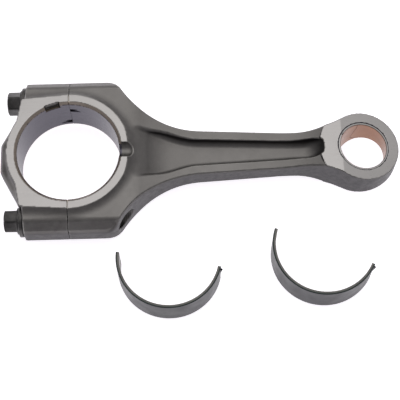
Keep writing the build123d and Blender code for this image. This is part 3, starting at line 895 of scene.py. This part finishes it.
def bush_mesh():
    """The wrapped bush: ends cut to the eye's tapered faces, and a clinched seam down its bore."""
    recess, edge, seam_width, seam_depth = 0.35, 0.3, 0.28, 0.22
    around = 360
    angles = np.linspace(0, 2 * math.pi, around, endpoint=False)
    across = np.linspace(-1, 1, 56)
    rows = [(PIN_R, s) for s in across]
    rows += [(PIN_R + edge, 2.0), (BUSH_R - 0.15, 2.0), (BUSH_R, 1.0)]
    rows += [(BUSH_R, s) for s in (0.5, 0.0, -0.5, -1.0)]
    rows += [(BUSH_R - 0.15, -2.0), (PIN_R + edge, -2.0)]
    seam_angle, seam_z = seam_path()
    verts, seam, backing = [], [], []
    for r, s in rows:
        for a in angles:
            x = EYE_X + r * math.cos(a)
            t = PAD_T - recess - max(0.0, x - TAPER_X) * TAPER
            z = (t - edge) * s if abs(s) <= 1 else math.copysign(t, s)
            near = 0.0
            if r == PIN_R:
                off = np.hypot((seam_angle - math.degrees(a)) * math.radians(1) * PIN_R, seam_z - z).min()
                near = max(0.0, 1 - off / seam_width)
            depth = r + seam_depth * near
            verts.append((EYE_X + depth * math.cos(a), depth * math.sin(a), z))
            seam.append(near)
            backing.append(float(r > PIN_R))
    obj = mesh_from("wrapped_bush", verts, grid_faces(len(rows), around, closed_rows=True))
    set_attribute(obj, "seam", seam)
    set_attribute(obj, "backing", backing)
    return obj


def seam_path():
    """The clinched split line of the bush: angle round the bore in degrees, and height."""
    knots = [(100.0, 9.5), (102.5, 4.4), (113.5, -3.4), (113.8, -4.6)]
    knots += [(107.0, -6.2), (101.0, -6.4), (99.0, -9.5)]
    angle, height = np.array(knots).T
    along = np.linspace(0, len(knots) - 1, 240)
    index = np.arange(len(knots))
    return np.interp(along, index, angle), np.interp(along, index, height)


bush = bush_mesh()
sharpen(bush, 40)
finish_piece(bush, bronze(), "bearing_bronze", "rod", "small_end_bush")


# ---------------------------------------------------------------- bearing shells

def shell_mesh(name, place):
    """A half shell on edge, with broken edges and a tang pressed out of one end."""
    low, high = node_box(f"bearing_shell_{place}")
    x0, y0, middle = SHELL_PLACES[place]
    bottom, width = low[2], high[2] - low[2]
    inner = SHELL_R - SHELL_WALL
    edge = 0.25
    rim_points = [(inner + edge, 0.9, 0.0), (inner + 0.75, 0.6, 0.1), (SHELL_R - edge, 0.0, 1.0)]
    section = [(inner, h, 1.0, 0.0) for h in np.linspace(edge, width - edge, 46)]
    section += [(r, width, is_lining, is_rim) for r, is_lining, is_rim in rim_points]
    section += [(SHELL_R, h, 0.0, 0.0) for h in np.linspace(width - edge, edge, 46)]
    section += [(r, 0, is_lining, is_rim) for r, is_lining, is_rim in reversed(rim_points)]
    around = np.radians(np.linspace(-SHELL_ARC / 2, SHELL_ARC / 2, 260))
    turn = math.radians(middle)
    tang_h, tang_half, tang_run, tang_out = width - 4.0, 1.0, 2.4, 0.85
    verts, lining, rim = [], [], []
    for a in around:
        from_end = (around[-1] - a) * SHELL_R
        lift = max(0.0, 1 - from_end / tang_run)
        for r, h, is_lining, is_rim in section:
            window = float(np.clip((tang_half + 0.15 - abs(h - tang_h)) / 0.3, 0, 1))
            out = r + tang_out * lift * window
            x = x0 + out * math.cos(turn + a)
            y = y0 + out * math.sin(turn + a)
            verts.append((x, y, bottom + h))
            lining.append(is_lining)
            rim.append(is_rim)
    n = len(section)
    faces = grid_faces(len(around), n)
    faces.append(tuple(range(n)))
    faces.append(tuple(reversed(range((len(around) - 1) * n, len(around) * n))))
    obj = mesh_from(name, verts, [tuple(reversed(f)) for f in faces])
    set_attribute(obj, "lining", lining)
    set_attribute(obj, "edge", rim)
    return obj


plated = shell_steel()
for place in SHELL_PLACES:
    shell = shell_mesh(f"half_shell_{place}", place)
    sharpen(shell, 35)
    finish_piece(shell, plated, "shell_steel", f"{place}_shell", f"bearing_shell_{place}")


# ---------------------------------------------------------------- camera, floor and light

def build_camera():
    """Looks down on the rod from its front side."""
    data = bpy.data.cameras.new("camera")
    data.sensor_width = 36.0
    data.lens = 108.45
    data.shift_x, data.shift_y = -0.00125, 0.00125
    data.clip_end = 20
    camera = link("camera", data)
    forward = Vector((0.00589, 0.35394, -0.93525)).normalized()
    right = Vector((0.99963, -0.02697, -0.00391)).normalized()
    up = right.cross(forward).normalized()
    right = forward.cross(up).normalized()
    turn = Matrix((right, up, -forward)).transposed()
    camera.matrix_world = Matrix.Translation(Vector((58.163, -223.114, 530.695)) * MM) @ turn.to_4x4()
    bpy.context.scene.camera = camera


def build_floor():
    half_size, z = 3.0, -HALF_W * MM - 0.00002
    corners = [(x * half_size, y * half_size, z) for x, y in ((-1, -1), (1, -1), (1, 1), (-1, 1))]
    mesh = bpy.data.meshes.new("floor")
    mesh.from_pydata(corners, [], [(0, 1, 2, 3)])
    floor = link("floor", mesh)
    material, tree, shader = nodes_of("white_sweep")
    shader.inputs["Base Color"].default_value = (0.86, 0.86, 0.87, 1)
    shader.inputs["Roughness"].default_value = 0.9
    shader.inputs["Emission Color"].default_value = (0.98, 0.95, 1.0, 1)
    shader.inputs["Emission Strength"].default_value = 0.84
    mesh.materials.append(material)


def area_light(name, place, aim, size, power, colour):
    data = bpy.data.lights.new(name, "AREA")
    data.shape = "DISK"
    data.size = size
    data.energy = power
    data.color = colour
    obj = link(name, data)
    obj.location = place
    obj.rotation_euler = (Vector(aim) - Vector(place)).to_track_quat("-Z", "Y").to_euler()


def build_world():
    """A soft studio: brightest overhead and behind the rod, darker towards the front and the horizon."""
    world = bpy.data.worlds.new("studio")
    bpy.context.scene.world = world
    world.use_nodes = True
    tree = world.node_tree
    background = tree.nodes["Background"]
    place = tree.nodes.new("ShaderNodeTexCoord")
    toward = tree.nodes.new("ShaderNodeVectorMath")
    toward.operation = "DOT_PRODUCT"
    wire(tree, place.outputs["Generated"], toward.inputs[0])
    toward.inputs[1].default_value = (0.0, 0.5, 0.866)
    ramp = tree.nodes.new("ShaderNodeValToRGB")
    low, high = ramp.color_ramp.elements
    low.position, low.color = 0.0, (0.20, 0.196, 0.204, 1)
    high.position, high.color = 0.93, (1.0, 0.99, 0.97, 1)
    for position, level in ((0.5, 0.235), (0.72, 0.42)):
        step = ramp.color_ramp.elements.new(position)
        step.color = (level, level * 0.985, level, 1)
    wire(tree, toward.outputs["Value"], ramp.inputs["Fac"])
    wire(tree, ramp.outputs["Color"], background.inputs["Color"])
    background.inputs["Strength"].default_value = 1.28


build_camera()
build_floor()
build_world()
area_light("overhead", (0.06, 0.18, 0.75), (0.06, 0, 0), 0.55, 0.42, (1.0, 0.99, 0.97))
area_light("front_fill", (-0.15, -0.75, 0.30), (0.05, 0, 0), 0.5, 0.08, (0.93, 0.92, 1.0))
bpy.context.scene.view_settings.view_transform = "Standard"
